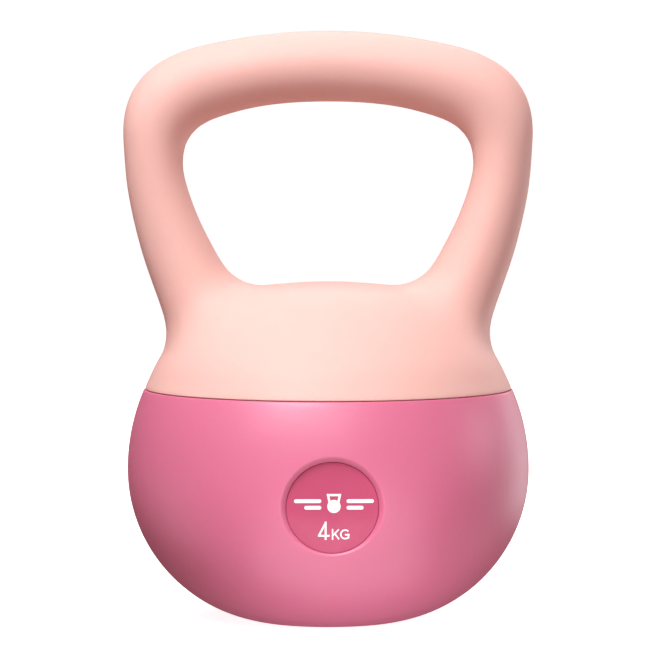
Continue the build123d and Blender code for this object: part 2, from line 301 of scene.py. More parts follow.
def skin_course(sizes, low, high, steps, inset=0.0):
    """Points (radius, height) up the ball's skin, spaced evenly by angle on each arc."""
    centre, belly_radius = belly(sizes)
    points = []
    start = math.asin((low - sizes.equator_height) / (belly_radius - inset))
    for i in range(steps):
        a = start * (1 - i / steps)
        points.append(
            (
                centre + (belly_radius - inset) * math.cos(a),
                sizes.equator_height + (belly_radius - inset) * math.sin(a),
            )
        )
    upper_steps = steps // 3
    end = math.asin((high - sizes.equator_height) / (sizes.ball_radius - inset))
    for i in range(upper_steps + 1):
        a = end * i / upper_steps
        points.append(
            (
                (sizes.ball_radius - inset) * math.cos(a),
                sizes.equator_height + (sizes.ball_radius - inset) * math.sin(a),
            )
        )
    return points


def rounded(corner, before, after, radius, steps=3):
    """Points of a small arc that rounds a square corner, from the side of `before` to `after`."""
    corner, before, after = Vector(corner), Vector(before), Vector(after)
    into = (before - corner).normalized() * radius
    out = (after - corner).normalized() * radius
    centre = corner + into + out
    points = []
    for i in range(steps + 1):
        a = math.pi / 2 * i / steps
        points.append(tuple(centre - out * math.cos(a) - into * math.sin(a)))
    return points


def bowl_outline(sizes):
    """Outline of the bowl: base with tread rings, belly, rounded rim, lip and inner wall."""
    points = [(0, 0)]
    for radius in TREAD_RADII:
        points += [
            (radius - TREAD_EASE, 0),
            (radius, TREAD_EASE),
            (radius, TREAD_DEPTH),
            (radius + TREAD_WIDTH, TREAD_DEPTH),
            (radius + TREAD_WIDTH, TREAD_EASE),
            (radius + TREAD_WIDTH + TREAD_EASE, 0),
        ]
    points += [(sizes.base_radius - BASE_EASE, 0)]
    outer = skin_course(sizes, 0, sizes.seam_height, SKIN_STEPS)
    points += outer[1:-1]
    rim = outer[-1]
    points += rounded(rim, outer[-2], (0, sizes.seam_height), RIM_ROUNDING)
    underside = sizes.seam_height - sizes.lip_thickness
    points += [
        (sizes.lip_radius + LIP_ROW, sizes.seam_height),
        (sizes.lip_radius, sizes.seam_height),
        (sizes.lip_radius, underside),
    ]
    inner = skin_course(sizes, sizes.floor, underside, WALL_STEPS, sizes.wall)
    points += list(reversed(inner))
    points += [(FLOOR_ROW, sizes.floor), (0, sizes.floor)]
    return points


class BadgePlane:
    """The badge's face: a point on it is (right, up, out) from the badge's centre."""

    def __init__(self, sizes):
        self.sizes = sizes
        self.centre = Vector((0, -sizes.badge_depth, sizes.badge_height))
        self.out = Vector((0, -math.cos(sizes.badge_tilt), -math.sin(sizes.badge_tilt)))
        self.right = Vector((1, 0, 0))
        self.up = self.out.cross(self.right)

    def place(self, right, up, out=0.0):
        """The point in the frame."""
        return self.centre + self.right * right + self.up * up + self.out * out

    def read(self, point):
        """(right, up, out) of a point in the frame."""
        offset = point - self.centre
        return offset.dot(self.right), offset.dot(self.up), offset.dot(self.out)

    def skin(self, right, up, inset=0.0):
        """How far out the ball's skin stands over a point of the badge's plane."""
        low, high = -SKIN_REACH, SKIN_REACH
        for _ in range(HALVINGS):
            middle = (low + high) / 2
            point = self.place(right, up, middle)
            inside = math.hypot(point.x, point.y) < skin_radius(self.sizes, point.z, inset)
            low, high = (middle, high) if inside else (low, middle)
        return low


class RingBuilder:
    """Extrudes a closed loop of open edges ring by ring; each ring is placed by angle."""

    def __init__(self, piece, plane):
        self.piece = piece
        self.plane = plane

    def selected(self, cage):
        """The selected vertices with their angle round the badge, in order."""
        found = []
        for vertex in cage.verts:
            if vertex.select:
                right, up, _ = self.plane.read(vertex.co)
                found.append((math.atan2(up, right), vertex))
        return sorted(found, key=lambda pair: pair[0])

    def even_angles(self, count):
        """Angles of an evenly spaced ring."""
        return [-math.pi + 2 * math.pi * (i + 0.5) / count for i in range(count)]

    def extrude(self, place):
        """Extrudes the selected loop; place(angle, old point) gives each new point."""
        bpy.ops.mesh.extrude_edges_move()
        cage = bmesh.from_edit_mesh(self.piece.data)
        ring = self.selected(cage)
        for angle, (_, vertex) in zip(self.even_angles(len(ring)), ring):
            vertex.co = place(angle, vertex.co.copy())
        bmesh.update_edit_mesh(self.piece.data)


def recess_edge(plane, angle, start):
    """Radius at which the recess's 45 degree flare meets the ball's skin, in one direction."""
    low, high = start, start + RECESS_REACH
    for _ in range(HALVINGS):
        middle = (low + high) / 2
        over = plane.skin(middle * math.cos(angle), middle * math.sin(angle))
        low, high = (middle, high) if over > middle - start else (low, middle)
    return low


def cut_recess(bowl, sizes):
    """Opens the bowl behind the badge and builds flare, pocket, filling port and boss."""
    plane = BadgePlane(sizes)
    low, high = sizes.badge_height - PATCH_BELOW, sizes.badge_height + PATCH_ABOVE

    def on_side(point, inner):
        """True for a point in front that lies on the asked skin, the inner or the outer one."""
        depth = skin_radius(sizes, point.z) - math.hypot(point.x, point.y)
        return point.y < 0 and inner == (depth > sizes.wall / 2)

    def in_patch(point, inner):
        """True for a face of the square patch behind the badge, on one of the two skins."""
        across = abs(math.atan2(point.x, -point.y))
        return low < point.z < high and across < PATCH_ANGLE and on_side(point, inner)

    for inner in (False, True):
        select_faces(bowl, lambda point, inner=inner: in_patch(point, inner))
        bpy.ops.mesh.delete(type="FACE")
    # The outer loop comes last, so that it is the one the rings grow from.
    counts = [
        select_open_edges(bowl, lambda point, inner=inner: on_side(point, inner))
        for inner in (True, False)
    ]
    if counts[0] != counts[1]:
        raise RuntimeError(f"the openings in the two skins differ: {counts}")
    rings = RingBuilder(bowl, plane)
    flare = sizes.badge_radius + sizes.badge_gap
    edge = {}

    def edge_radius(angle):
        """Radius of the recess's edge in one direction."""
        key = round(angle, 6)
        if key not in edge:
            edge[key] = recess_edge(plane, angle, flare)
        return edge[key]

    def on_skin(angle, radius, sink=0.0, inset=0.0):
        """Point of the ball's outer skin, or the one inset from it, over the badge's plane."""
        right, up = radius * math.cos(angle), radius * math.sin(angle)
        return plane.place(right, up, plane.skin(right, up, inset) - sink)

    def rounder(angle, old, weight):
        """An old point moved over the skin by a share of its way to the round edge."""
        right, up, _ = plane.read(old)
        radius = edge_radius(angle) + RECESS_MARGIN
        target = Vector((radius * math.cos(angle), radius * math.sin(angle)))
        mixed = Vector((right, up)).lerp(target, weight)
        return plane.place(mixed.x, mixed.y, plane.skin(mixed.x, mixed.y))

    # From the square opening to a round one.
    for _ in range(ROUNDING_STEPS - 1):
        rings.extrude(lambda a, old: rounder(a, old, ROUNDING_SHARE))
    rings.extrude(lambda a, old: rounder(a, old, 1.0))
    # The rounded edge between skin and flare: distance outside it and depth under the skin.
    soft = RECESS_SOFTNESS
    for out, sink in ((2.2, 0.0), (1.2, 0.0), (0.55, 0.05), (0.1, 0.22)):
        rings.extrude(
            lambda a, old, out=out, sink=sink: on_skin(a, edge_radius(a) + out * soft, sink * soft)
        )

    def on_ring(angle, radius, out):
        """Point at a radius round the badge's centre, and so far out of its face."""
        return plane.place(radius * math.cos(angle), radius * math.sin(angle), out)

    def flare_point(angle, share):
        """Point part of the way down the flare, from its edge to the pocket's edge."""
        rise = max(edge_radius(angle) - flare, 0.02 * MM)
        height = rise * (1 - share)
        return on_ring(angle, flare + height, height)

    def first_share(angle):
        """Share of the flare that the rounded edge takes up."""
        return min(0.9, 0.45 * soft / max(edge_radius(angle) - flare, soft / 2))

    rings.extrude(lambda a, old: flare_point(a, first_share(a)))
    for share in (0.5, 0.93):
        rings.extrude(lambda a, old, share=share: flare_point(a, share))
    pocket = [
        (flare, -0.08 * MM),
        (flare, -0.3 * MM),
        (flare, -sizes.pocket_depth + CORNER_EASE),
        (flare - CORNER_EASE, -sizes.pocket_depth),
        (SEAT_RADIUS + CORNER_EASE, -sizes.pocket_depth),
        (SEAT_RADIUS, -sizes.pocket_depth - CORNER_EASE),
        (SEAT_RADIUS, -SEAT_DEPTH),
        (BORE_RADIUS, -SEAT_DEPTH),
        (BORE_RADIUS, -BOSS_DEPTH),
        (BOSS_RADIUS - BOSS_EASE, -BOSS_DEPTH),
        (BOSS_RADIUS, -BOSS_DEPTH + BOSS_EASE),
    ]
    for radius, out in pocket:
        rings.extrude(lambda a, old, radius=radius, out=out: on_ring(a, radius, out))
    # The boss's side ends where it meets the inner skin.
    rings.extrude(lambda a, old: on_skin(a, BOSS_RADIUS, inset=sizes.wall))
    # Join the boss to the opening in the inner skin.
    bpy.ops.mesh.select_all(action="DESELECT")
    select_open_edges(bowl, lambda point: point.y < 0)
    bpy.ops.mesh.bridge_edge_loops()
    bpy.ops.mesh.select_all(action="SELECT")
    bpy.ops.mesh.normals_make_consistent(inside=False)


class KETTLEBELL_OT_bowl(bpy.types.Operator):
    """Build the rose bowl with its rounded rim, lip, badge recess and filling port"""

    bl_idname = "kettlebell.bowl"
    bl_label = "Bowl"

    def execute(self, context):
        sizes = context.scene.kettlebell_sizes
        bowl = lathe("bowl", bowl_outline(sizes), sizes.bowl_steps)
        cut_recess(bowl, sizes)
        bpy.ops.object.mode_set(mode="OBJECT")
        finish_piece(bowl, "bowl", 35)
        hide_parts("bowl_shell")
        bowl.data.materials.append(rose_vinyl(context.scene.kettlebell_colours, sizes))
        return {"FINISHED"}


# ---- grip and shoulder --------------------------------------------------------------------------

# Shoulder outline in millimetres (radius, height), from the rim to the crown.
SHOULDER = [
    (74.63, 94.5),
    (74.1, 96.5),
    (71.9, 101.5),
    (70.1, 105.0),
    (68.1, 108.0),
    (63.0, 114.0),
    (57.3, 120.0),
    (50.8, 125.4),
    (43.8, 130.0),
    (36.0, 133.9),
    (27.0, 136.0),
    (14.0, 137.2),
    (0.0, 137.6),
]

# Middle line of one half of the grip in millimetres (x, height), from its top to its root.
GRIP_MIDDLE = [
    (0.0, 225.5),
    (25.5, 224.2),
    (45.5, 220.2),
    (59.8, 214.6),
    (67.5, 207.0),
    (70.8, 198.9),
    (71.2, 189.3),
    (70.2, 179.0),
    (67.2, 166.3),
    (62.4, 152.0),
]

# Radii of the shoulder's rows of faces in millimetres, close together at the rim.
SHOULDER_ROWS = [74.1, 73.1, 71.7, 69.9, 67.9, 66.0]
SHOULDER_ROWS += [66.0 - 4.5 * i for i in range(1, 9)]
SHOULDER_ROWS += [25.0, 20.0]

# Softness of the shoulder's rim, and a row of faces in the plate's recess.
RIM_SOFTNESS = 0.4 * MM
ROOF_ROW = 30 * MM

# The visible skin starts at one height near the axis, and everywhere above another.
SKIN_START, SKIN_START_RADIUS, SKIN_CLEAR = 97.2 * MM, 75 * MM, 99 * MM

# The grip's tube before it is fitted: radius, and faces round it and along each stretch.
GRIP_TUBE_RADIUS = 13.5 * MM
GRIP_TUBE_STEPS = 36
GRIP_TUBE_CUTS = 3

# The shoulder is opened under each leg between two radii, on so many columns each way.
LEG_INNER, LEG_OUTER = 30 * MM, 66 * MM
LEG_COLUMNS, LEG_ROWS = 5, 8

# Heights above which only the shoulder's top lies, and only the ring of its open crown.
TOP_ONLY, CROWN_ONLY = 100 * MM, 120 * MM

# Heights between which the legs' roots are evened out.
ROOTS_LOW, ROOTS_HIGH = 112 * MM, 172 * MM


def shoulder_height(radius):
    """Height of the shoulder's outline at a radius, both in millimetres."""
    for (r_out, z_out), (r_in, z_in) in zip(SHOULDER, SHOULDER[1:]):
        if r_in <= radius <= r_out:
            share = (r_out - radius) / (r_out - r_in)
            return z_out + (z_in - z_out) * share
    return SHOULDER[-1][1]


def shoulder_outline(sizes):
    """Outline of the shoulder: plate recess, seam groove, soft rim, dome up to the crown."""
    seam, gap, depth = sizes.seam_height, sizes.seam_gap, sizes.seam_depth
    roof = seam + sizes.plate_depth
    rim = skin_radius(sizes, seam + gap, sizes.skin_step)
    points = [
        (0, roof),
        (ROOF_ROW, roof),
        (sizes.plate_radius, roof),
        (sizes.plate_radius, seam),
        (rim - depth, seam),
        (rim - depth, seam + gap),
        (rim - RIM_SOFTNESS, seam + gap),
        (rim - 0.2 * RIM_SOFTNESS, seam + gap + 0.15 * RIM_SOFTNESS),
        (rim, seam + gap + RIM_SOFTNESS),
    ]
    points += [(radius * MM, shoulder_height(radius) * MM) for radius in SHOULDER_ROWS]
    return points


def grip_tube():
    """A round tube along the grip's middle line, open at both roots."""
    deselect_all()
    bpy.ops.curve.primitive_bezier_curve_add(location=(0, 0, 0))
    tube = bpy.context.object
    spline = tube.data.splines[0]
    line = [(-x, z) for x, z in reversed(GRIP_MIDDLE[1:])] + GRIP_MIDDLE
    spline.bezier_points.add(len(line) - len(spline.bezier_points))
    for knot, (x, z) in zip(spline.bezier_points, line):
        knot.co = (x * MM, 0, z * MM)
        knot.handle_left_type = knot.handle_right_type = "AUTO"
    spline.resolution_u = GRIP_TUBE_CUTS
    tube.data.resolution_u = GRIP_TUBE_CUTS
    tube.data.bevel_depth = GRIP_TUBE_RADIUS
    tube.data.bevel_resolution = GRIP_TUBE_STEPS // 2 - 2
    tube.data.use_fill_caps = False
    bpy.ops.object.convert(target="MESH")
    return bpy.context.object


def add_modifier(piece, name, kind, **settings):
    """Adds a modifier, sets it and applies it."""
    activate(piece)
    modifier = piece.modifiers.new(name, kind)
    for key, value in settings.items():
        setattr(modifier, key, value)
    bpy.ops.object.modifier_apply(modifier=name)


def group_by_place(piece, name, wanted):
    """Makes a vertex group of the points that pass a test."""
    group = piece.vertex_groups.new(name=name)
    group.add([v.index for v in piece.data.vertices if wanted(v.co)], 1.0, "REPLACE")


def above_seam(point):
    """True for a point of the handle's visible skin, clear of the seam's groove."""
    near_axis = math.hypot(point.x, point.y) < SKIN_START_RADIUS
    return point.z > SKIN_CLEAR or (point.z > SKIN_START and near_axis)


def fit_to_moulding(handle):
    """Draws the handle's visible skin onto the moulding in the frame."""
    add_modifier(
        handle,
        "Fit",
        "SHRINKWRAP",
        target=bpy.data.objects["handle_moulding"],
        wrap_method="NEAREST_SURFACEPOINT",
        vertex_group="skin",
    )


class KETTLEBELL_OT_handle(bpy.types.Operator):
    """Build the peach grip and shoulder as one smooth moulding"""

    bl_idname = "kettlebell.handle"
    bl_label = "Grip and shoulder"

    def execute(self, context):
        sizes = context.scene.kettlebell_sizes
        steps = sizes.shoulder_steps
        handle = lathe("handle", shoulder_outline(sizes), steps)
        # Close the crown with a grid of squares.
        count = select_open_edges(handle, lambda point: point.z > CROWN_ONLY)
        if count != steps:
            raise RuntimeError(f"the crown's ring has {count} edges")
        bpy.ops.mesh.fill_grid(span=steps // 4)
        # Open the shoulder under each leg.
        segment = 2 * math.pi / steps

        def under_leg(point):
            """True for a face of the shoulder under one of the legs."""
            radius = math.hypot(point.x, point.y)
            angle = abs(math.atan2(point.y, abs(point.x)))
            between = LEG_INNER < radius < LEG_OUTER and angle < LEG_COLUMNS * segment
            return between and point.z > TOP_ONLY

        opened = select_faces(handle, under_leg)
        if opened != 2 * 2 * LEG_COLUMNS * LEG_ROWS:
            raise RuntimeError(f"{opened} faces under the legs")
        bpy.ops.mesh.delete(type="FACE")
        bpy.ops.object.mode_set(mode="OBJECT")
        tube = grip_tube()
        deselect_all()
        tube.select_set(True)
        handle.select_set(True)
        context.view_layer.objects.active = handle
        bpy.ops.object.join()
        bpy.ops.object.mode_set(mode="EDIT")
        for side in (-1, 1):
            edges = select_open_edges(handle, lambda point, side=side: point.x * side > 0)
            if edges != 2 * GRIP_TUBE_STEPS:
                raise RuntimeError(f"{edges} open edges at one root")
            bpy.ops.mesh.bridge_edge_loops(number_cuts=5, interpolation="SURFACE", smoothness=0.8)
        bpy.ops.mesh.select_all(action="SELECT")
        bpy.ops.mesh.normals_make_consistent(inside=False)
        bpy.ops.object.mode_set(mode="OBJECT")
        group_by_place(handle, "skin", above_seam)
        fit_to_moulding(handle)
        group_by_place(handle, "roots", lambda point: ROOTS_LOW < point.z < ROOTS_HIGH)
        for _ in range(3):
            add_modifier(handle, "Even", "SMOOTH", factor=0.5, iterations=8, vertex_group="roots")
            fit_to_moulding(handle)
        add_modifier(handle, "Smooth", "SMOOTH", factor=0.4, iterations=1, vertex_group="skin")
        add_modifier(handle, "Round", "SUBSURF", levels=2, render_levels=2)
        finish_piece(handle, "handle", 50)
        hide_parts("handle_moulding")
        handle.data.materials.append(peach_foam(context.scene.kettlebell_colours))
        return {"FINISHED"}


# ---- badge --------------------------------------------------------------------------------------

# The disc: faces round it, its softened edge, and the rings of faces inside that edge.
DISC_STEPS = 160
DISC_EASE = 0.22 * MM
DISC_RIM, DISC_RING = 1.2 * MM, 5 * MM

# A face whose centre is this near the badge's front lies in it.
TOUCH = 0.01 * MM


class KETTLEBELL_OT_badge(bpy.types.Operator):
    """Build the badge disc with its soft edge and give the raised print its finish"""

    bl_idname = "kettlebell.badge"
    bl_label = "Badge"

    def execute(self, context):
        sizes = context.scene.kettlebell_sizes
        colours = context.scene.kettlebell_colours
        plane = BadgePlane(sizes)
        deselect_all()
        bpy.ops.mesh.primitive_cylinder_add(
            vertices=DISC_STEPS,
            radius=sizes.badge_radius,
            depth=sizes.badge_thickness,
            location=plane.place(0, 0, -sizes.badge_thickness / 2),
            rotation=(math.pi / 2 + sizes.badge_tilt, 0, 0),
            end_fill_type="NGON",
        )
        disc = context.object
        bpy.ops.object.transform_apply(location=True, rotation=True, scale=True)
        bpy.ops.object.mode_set(mode="EDIT")
        select_faces(disc, lambda point: plane.read(point)[2] > -TOUCH)
        bpy.ops.mesh.bevel(offset=DISC_EASE, segments=3, affect="EDGES")
        select_faces(disc, lambda point: abs(plane.read(point)[2]) < TOUCH)
        for ring in (DISC_RIM, DISC_RING, DISC_RING):
            bpy.ops.mesh.inset(thickness=ring)
        bpy.ops.mesh.poke()
        bpy.ops.object.mode_set(mode="OBJECT")
        finish_piece(disc, "badge", 30)
        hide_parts("badge_disc")
        disc.data.materials.append(badge_vinyl(colours, sizes))
        white = print_ink(colours)
        paint("badge_emblem", white)
        paint("weight_mark", white)
        return {"FINISHED"}


# ---- inner works --------------------------------------------------------------------------------


def paint(node, material):
    """Gives a carried-over node one material."""
    piece = bpy.data.objects[node]
    if not piece.material_slots:
        piece.data.materials.append(material)
    for slot in piece.material_slots:
        slot.material = material


class KETTLEBELL_OT_inside(bpy.types.Operator):
    """Finish the steel core, the fasteners, the filling, its plug and the badge's tape"""

    bl_idname = "kettlebell.inside"
    bl_label = "Inner works"

    def execute(self, context):
        colours = context.scene.kettlebell_colours
        paint("core_tube", drawn_steel(colours))
        primed = primed_steel(colours)
        paint("anchor_plate", primed)
        paint("clamp_cover", primed)
        zinc = zinc_plate(colours)
        for node in ("weld_nuts", "screw_washers", "cover_screws"):
            paint(node, zinc)
        paint("sand_fill", iron_sand(colours))
        paint("filler_plug", moulded_rubber(colours, "plug rubber", 0.6))
        paint("plug_seal", moulded_rubber(colours, "seal rubber", 0.8))
        paint("badge_tape", foam_tape(colours))
        return {"FINISHED"}


# ---- finishes -----------------------------------------------------------------------------------


class Wire:
    """A node socket that takes part in Python arithmetic."""

    def __init__(self, finish, socket):
        self.finish = finish
        self.socket = socket

    def maths(self, operation, first, second):
        """A Math node on two values."""
        return self.finish.node("ShaderNodeMath", {"operation": operation}, {0: first, 1: second})

    def __add__(self, other):
        return self.maths("ADD", self, other)

    def __radd__(self, other):
        return self.maths("ADD", other, self)

    def __sub__(self, other):
        return self.maths("SUBTRACT", self, other)

    def __rsub__(self, other):
        return self.maths("SUBTRACT", other, self)

    def __mul__(self, other):
        return self.maths("MULTIPLY", self, other)

    def __rmul__(self, other):
        return self.maths("MULTIPLY", other, self)

    def __pow__(self, other):
        return self.maths("POWER", self, other)


class Finish:
    """One material: its shader and the nodes that feed it."""

    def __init__(self, name, **constants):
        self.material = bpy.data.materials.new(name)
        self.material.use_nodes = True
        self.tree = self.material.node_tree
        self.tree.nodes.clear()
        self.shader = self.tree.nodes.new("ShaderNodeBsdfPrincipled")
        output = self.tree.nodes.new("ShaderNodeOutputMaterial")
        self.tree.links.new(self.shader.outputs[0], output.inputs[0])
        for socket, value in constants.items():
            self.shader.inputs[socket.replace("_", " ")].default_value = value
        self.place = self.node("ShaderNodeTexCoord", {}, {}, "Object")

    def node(self, kind, settings, inputs, output=0):
        """Makes a node: its settings first, then the values or links of its sockets."""
        made = self.tree.nodes.new(kind)
        for key, value in settings.items():
            setattr(made, key, value)
        self.feed(made, inputs)
        return Wire(self, made.outputs[output])

    def feed(self, made, inputs):
        """Sets or links a node's sockets."""
        for key, value in inputs.items():
            if isinstance(value, Wire):
                self.tree.links.new(value.socket, made.inputs[key])
            elif hasattr(value, "__len__") and len(value) == 3 and made.inputs[key].type == "RGBA":
                made.inputs[key].default_value = (*value, 1)
            else:
                made.inputs[key].default_value = value

    def noise(self, scale, detail=2.0, roughness=0.5, place=None):
        """A noise value between 0 and 1; scale is in cells per metre."""
        inputs = {"Vector": place or self.place, "Scale": scale}
        inputs |= {"Detail": detail, "Roughness": roughness}
        return self.node("ShaderNodeTexNoise", {}, inputs)

    def cells(self, scale):
        """Distance to the nearest point of a cell pattern; scale is in cells per metre."""
        inputs = {"Vector": self.place, "Scale": scale}
        return self.node("ShaderNodeTexVoronoi", {"feature": "F1"}, inputs, "Distance")

    def ramp(self, value, low, high, from_value=0.0, to_value=1.0):
        """Maps a value from the span low..high to from_value..to_value, clamped."""
        inputs = {"Value": value, "From Min": low, "From Max": high}
        inputs |= {"To Min": from_value, "To Max": to_value}
        return self.node("ShaderNodeMapRange", {"clamp": True}, inputs)

    def blend(self, factor, first, second):
        """A colour between two colours."""
        inputs = {0: factor, 6: first, 7: second}
        return self.node("ShaderNodeMix", {"data_type": "RGBA"}, inputs, 2)

    def axis(self, name):
        """One coordinate of the place on the piece, in metres."""
        return self.node("ShaderNodeSeparateXYZ", {}, {0: self.place}, name)

    def bump(self, height, distance, strength):
        """A normal from a height value; distance is the height of 1 in metres."""
        inputs = {"Height": height, "Distance": distance, "Strength": strength}
        return self.node("ShaderNodeBump", {}, inputs)

    def dress(self, **inputs):
        """Feeds the shader's sockets and returns the material."""
        self.feed(self.shader, {key.replace("_", " "): value for key, value in inputs.items()})
        return self.material


def scaled(shade, *factors):
    """A colour with its red, green and blue multiplied."""
    return tuple(min(channel * factor, 1) for channel, factor in zip(shade, factors))


def peach_foam(colours):
    """Soft-touch moulded polyurethane, matt, with a fine grain and a faint clouding."""
    finish = Finish(
        "peach polyurethane",
        Subsurface_Weight=0.3,
        Subsurface_Radius=(1.0, 0.26, 0.18),
        Subsurface_Scale=5 * MM,
        Specular_IOR_Level=0.3,
    )
    cloud = finish.noise(28, 3)
    grain = finish.noise(1300, 2, 0.6)
    pores = finish.ramp(finish.cells(850), 0.0, 0.35)
    colour_mask = finish.ramp(cloud + 0.25 * grain, 0.35, 0.9)
    return finish.dress(
        Base_Color=finish.blend(colour_mask, colours.peach, colours.peach_shade),
        Roughness=finish.ramp(cloud * 0.5 + grain * 0.5, 0.2, 0.8, 0.50, 0.64),
        Normal=finish.bump(grain * 0.6 + pores * 0.4, 0.06 * MM, 0.8),
    )


def rose_vinyl(colours, sizes):
    """Satin plastisol vinyl with a fine moulded grain, and painted shade at the upper right of the
    badge's recess.
    """
    finish = Finish(
        "rose vinyl",
        Subsurface_Weight=0.3,
        Subsurface_Radius=(1.0, 0.25, 0.30),
        Subsurface_Scale=5 * MM,
        Specular_IOR_Level=0.7,
    )
    cloud = finish.noise(22, 3)
    grain = finish.noise(1300, 2, 0.6)
    pores = finish.ramp(finish.cells(800), 0.0, 0.4)
    colour_mask = finish.ramp(cloud + 0.25 * grain, 0.35, 0.9)
    body = finish.blend(colour_mask, colours.rose, colours.rose_shade)
    # Painted shade: the flare of the recess round the badge is tinted towards the deeper badge
    # colour at its upper right, where the recess wall lies in shade.
    side, rise = finish.axis("X"), finish.axis("Z") - sizes.badge_height
    edge = sizes.badge_radius
    ring = finish.ramp((side**2 + rise**2) ** 0.5, edge + 1.6 * MM, edge + 2.3 * MM, 0.2, 0.0)
    in_front = finish.ramp(finish.axis("Y"), -70 * MM, -60 * MM, 1.0, 0.0)
    painted_shade_upper_right = finish.ramp(side * 0.5 + rise * 0.85, -12 * MM, 4 * MM)
    # Mask of the painted shade on the recess's upper right flare.
    recess = ring * in_front * painted_shade_upper_right
    return finish.dress(
        Base_Color=finish.blend(recess, body, colours.badge),
        Roughness=finish.ramp(cloud * 0.4 + grain * 0.6, 0.2, 0.8, 0.38, 0.50),
        Normal=finish.bump(grain * 0.6 + pores * 0.4, 0.06 * MM, 0.8),
    )


def badge_vinyl(colours, sizes):
    """Smooth satin vinyl sheet for the badge disc, with a painted reflection deepening its upper
    half.
    """
    finish = Finish(
        "badge vinyl", Subsurface_Weight=0.1, Subsurface_Scale=2 * MM, Specular_IOR_Level=0.5
    )
    grain = finish.noise(2600, 2)
    cloud = finish.noise(90, 2)
    shade = scaled(colours.badge, 0.94, 0.9, 0.92)
    # Painted reflection: the upper half of the disc takes the deeper badge colour, standing for a
    # dark surround mirrored in its satin face, and fades to the lower badge colour over the lower
    # half.
    painted_reflection_fade = finish.ramp(finish.axis("Z") - sizes.badge_height, -7 * MM, -1 * MM)
    # This colour carries the painted reflection in the disc's upper half.
    body = finish.blend(painted_reflection_fade, colours.badge_low, colours.badge)
    return finish.dress(
        Base_Color=finish.blend(finish.ramp(cloud, 0.3, 0.7, 0.0, 0.6), body, shade),
        Roughness=finish.ramp(grain, 0.3, 0.7, 0.34, 0.44),
        Normal=finish.bump(grain, 0.008 * MM, 0.5),
    )


def print_ink(colours):
    """Raised white screen print with a slightly uneven lay."""
    finish = Finish("white print", Specular_IOR_Level=0.4)
    lay = finish.noise(1800, 3)
    shade = scaled(colours.printing, 0.93, 0.92, 0.92)
    return finish.dress(
        Base_Color=finish.blend(finish.ramp(lay, 0.35, 0.7), colours.printing, shade),
        Roughness=finish.ramp(lay, 0.3, 0.7, 0.45, 0.6),
        Normal=finish.bump(lay, 0.01 * MM, 0.5),
    )


def drawn_steel(colours):
    """Cold-drawn tube with fine marks along its length and a trace of oil."""
    finish = Finish("drawn steel", Specular_IOR_Level=0.5)
    along = {"Vector": finish.place, "Scale": (1, 1, 0.15)}
    stretch = finish.node("ShaderNodeMapping", {}, along)
    marks = finish.noise(900, 3, 0.6, stretch)
    oil = finish.noise(40, 3)
    dark = scaled(colours.steel, 0.7, 0.7, 0.68)
    stain = finish.ramp(oil * 0.6 + marks * 0.4, 0.35, 0.7)
    return finish.dress(
        Base_Color=finish.blend(stain, colours.steel, dark),
        Metallic=finish.ramp(oil, 0.0, 1.0, 0.92, 1.0),
        Roughness=finish.ramp(marks, 0.3, 0.7, 0.24, 0.42),
        Normal=finish.bump(marks, 0.01 * MM, 0.6),
    )


def primed_steel(colours):
    """Plate under grey primer, thinner and brighter in worn spots."""
    finish = Finish("primed steel", Specular_IOR_Level=0.5)
    spray = finish.noise(700, 3)
    worn = finish.ramp(finish.noise(60, 4, 0.65), 0.62, 0.72)
    return finish.dress(
        Base_Color=finish.blend(worn, colours.primer, colours.steel),
        Metallic=worn * 0.8,
        Roughness=finish.ramp(spray, 0.3, 0.7, 0.5, 0.68) - worn * 0.15,
        Normal=finish.bump(spray, 0.03 * MM, 0.6),
    )


def zinc_plate(colours):
    """Bright zinc with crystal patches."""
    finish = Finish("zinc plate", Specular_IOR_Level=0.5)
    patches = finish.cells(420)
    haze = finish.noise(300, 3)
    tint = scaled(colours.steel, 0.85, 0.87, 0.92)
    return finish.dress(
        Base_Color=finish.blend(finish.ramp(patches, 0.1, 0.6), colours.steel, tint),
        Metallic=finish.ramp(haze, 0.0, 1.0, 0.94, 1.0),
        Roughness=finish.ramp(haze * 0.5 + patches * 0.5, 0.2, 0.7, 0.22, 0.38),
        Normal=finish.bump(haze, 0.006 * MM, 0.5),
    )


def iron_sand(colours):
    """Packed iron sand: dark grains of uneven size with a few glints."""
    finish = Finish("iron sand", Specular_IOR_Level=0.5)
    grains = finish.cells(1600)
    glint = finish.ramp(finish.noise(2200, 1), 0.66, 0.7)
    bright = scaled(colours.sand, 3.2, 3.0, 2.8)
    return finish.dress(
        Base_Color=finish.blend(finish.ramp(grains, 0.05, 0.6), bright, colours.sand),
        Metallic=glint * 0.8,
        Roughness=0.85 - glint * 0.4,
        Normal=finish.bump(1 - grains, 0.25 * MM, 0.9),
    )


def moulded_rubber(colours, name, roughness):
    """Black rubber with a dull bloom."""
    finish = Finish(name, Specular_IOR_Level=0.35)
    bloom = finish.noise(150, 4)
    grain = finish.noise(1800, 2)
    pale = scaled(colours.rubber, 2.4, 2.4, 2.4)
    return finish.dress(
        Base_Color=finish.blend(finish.ramp(bloom, 0.45, 0.75), colours.rubber, pale),
        Roughness=finish.ramp(grain, 0.3, 0.7, roughness - 0.06, roughness + 0.06),
        Normal=finish.bump(grain, 0.02 * MM, 0.6),
    )


def foam_tape(colours):
    """Pale acrylic foam tape with open cells."""
    finish = Finish("foam tape", Specular_IOR_Level=0.3)
    cells = finish.cells(2500)
    dark = scaled(colours.tape, 0.8, 0.8, 0.8)
    return finish.dress(
        Base_Color=finish.blend(finish.ramp(cells, 0.1, 0.5), dark, colours.tape),
        Roughness=finish.ramp(cells, 0.0, 0.6, 0.6, 0.8),
        Normal=finish.bump(cells, 0.04 * MM, 0.6),
    )


